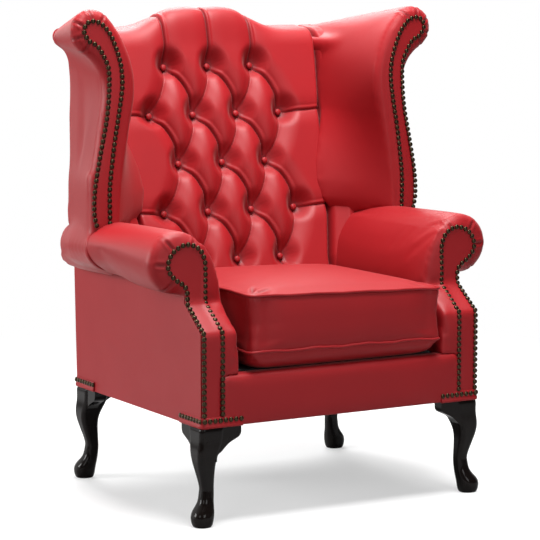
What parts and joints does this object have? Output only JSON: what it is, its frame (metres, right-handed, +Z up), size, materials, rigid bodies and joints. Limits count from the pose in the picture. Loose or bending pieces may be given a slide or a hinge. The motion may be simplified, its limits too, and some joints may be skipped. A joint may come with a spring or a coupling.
{
  "type": "wingback chair",
  "caption": "Wing chair with a deep-buttoned back, scrolled wings and arms, a loose seat cushion and cabriole legs, covered in smooth leather.",
  "frame": {"origin": "on the floor under the middle of the chair", "axes": "+Z up, the chair faces -Y, +X to the left of a person who sits in it"},
  "size_m": [0.89, 0.6939, 1.032],
  "materials": {
    "red_leather": "satin",
    "polished_leg": "gloss",
    "beech_frame": "matte",
    "black_cloth": "matte",
    "seat_foam": "matte",
    "antique_brass": "satin",
    "zinc_steel": "satin"
  },
  "bodies": {
    "chair": {"side_seat_rail_left": "beech_frame", "side_seat_rail_right": "beech_frame", "arm_post_left": "beech_frame", "arm_post_right": "beech_frame", "arm_board_left": "beech_frame", "arm_board_right": "beech_frame", "back_post_left": "beech_frame", "back_post_right": "beech_frame", "wing_post_left": "beech_frame", "wing_post_right": "beech_frame", "wing_rail_left": "beech_frame", "wing_rail_right": "beech_frame", "front_leg_left": "polished_leg", "front_leg_right": "polished_leg", "rear_leg_left": "polished_leg", "rear_leg_right": "polished_leg", "front_leg_ears_left": "polished_leg", "front_leg_ears_right": "polished_leg", "rear_leg_ears_left": "polished_leg", "rear_leg_ears_right": "polished_leg", "inside_arm_left": "red_leather", "inside_arm_right": "red_leather", "outside_arm_left": "red_leather", "outside_arm_right": "red_leather", "arm_facing_left": "red_leather", "arm_facing_right": "red_leather", "inside_wing_left": "red_leather", "inside_wing_right": "red_leather", "outside_wing_left": "red_leather", "outside_wing_right": "red_leather", "wing_facing_left": "red_leather", "wing_facing_right": "red_leather", "front_seat_rail": "beech_frame", "back_seat_rail": "beech_frame", "back_stay_rail": "beech_frame", "crest_rail": "beech_frame", "corner_blocks": "beech_frame", "seat_platform": "black_cloth", "long_seat_straps": "black_cloth", "cross_seat_straps": "black_cloth", "back_straps": "black_cloth", "dust_cover": "black_cloth", "front_border": "red_leather", "inside_back": "red_leather", "back_buttons": "red_leather", "outside_back": "red_leather", "leg_bolts": "zinc_steel"},
    "cushion": {"cushion_cover": "red_leather", "cushion_core": "seat_foam", "upper_piping": "red_leather", "lower_piping": "red_leather", "cushion_zip": "antique_brass"}
  },
  "joints": [
    {"name": "cushion_lift", "type": "slide", "parent": "chair", "child": "cushion", "axis": [0, -0.7659, 0.6429], "range_m": [0, 0.7]}
  ]
}
